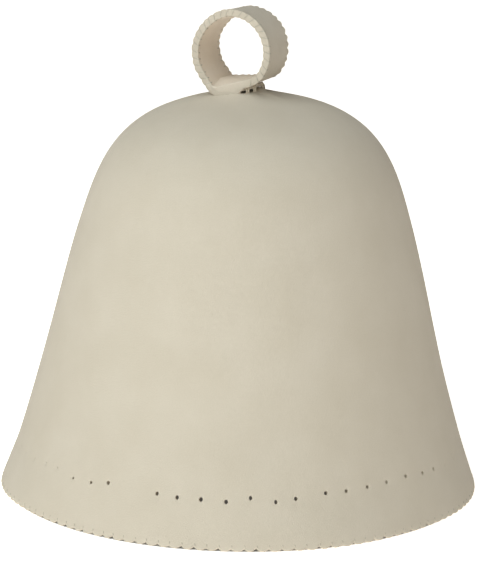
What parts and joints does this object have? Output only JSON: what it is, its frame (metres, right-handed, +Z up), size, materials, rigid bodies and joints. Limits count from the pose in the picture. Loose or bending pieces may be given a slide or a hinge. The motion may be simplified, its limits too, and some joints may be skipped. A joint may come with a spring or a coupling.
{
  "type": "sauna hat",
  "caption": "Bell-shaped hat of pressed felt for a sauna, with a pierced row above its rim and a felt strip looped on its crown to hang it by.",
  "frame": {"origin": "centre of the rim, on the plane that the rim stands on", "axes": "+Z up through the crown; Y along the opening of the hanging loop's ring, with the side that the picture shows most of towards -Y; +X sideways across the ring, the way the crown drifts by a few millimetres"},
  "size_m": [0.2496, 0.2496, 0.2535],
  "materials": {
    "felt": "matt pressed wool felt, pale cream",
    "loop_felt": "matt wool felt strip, overcast along both edges",
    "thread": "matt spun thread close to the felt's own colour"
  },
  "bodies": {
    "root": {"felt_bell": "felt", "hanging_loop": "loop_felt"}
  },
  "joints": []
}
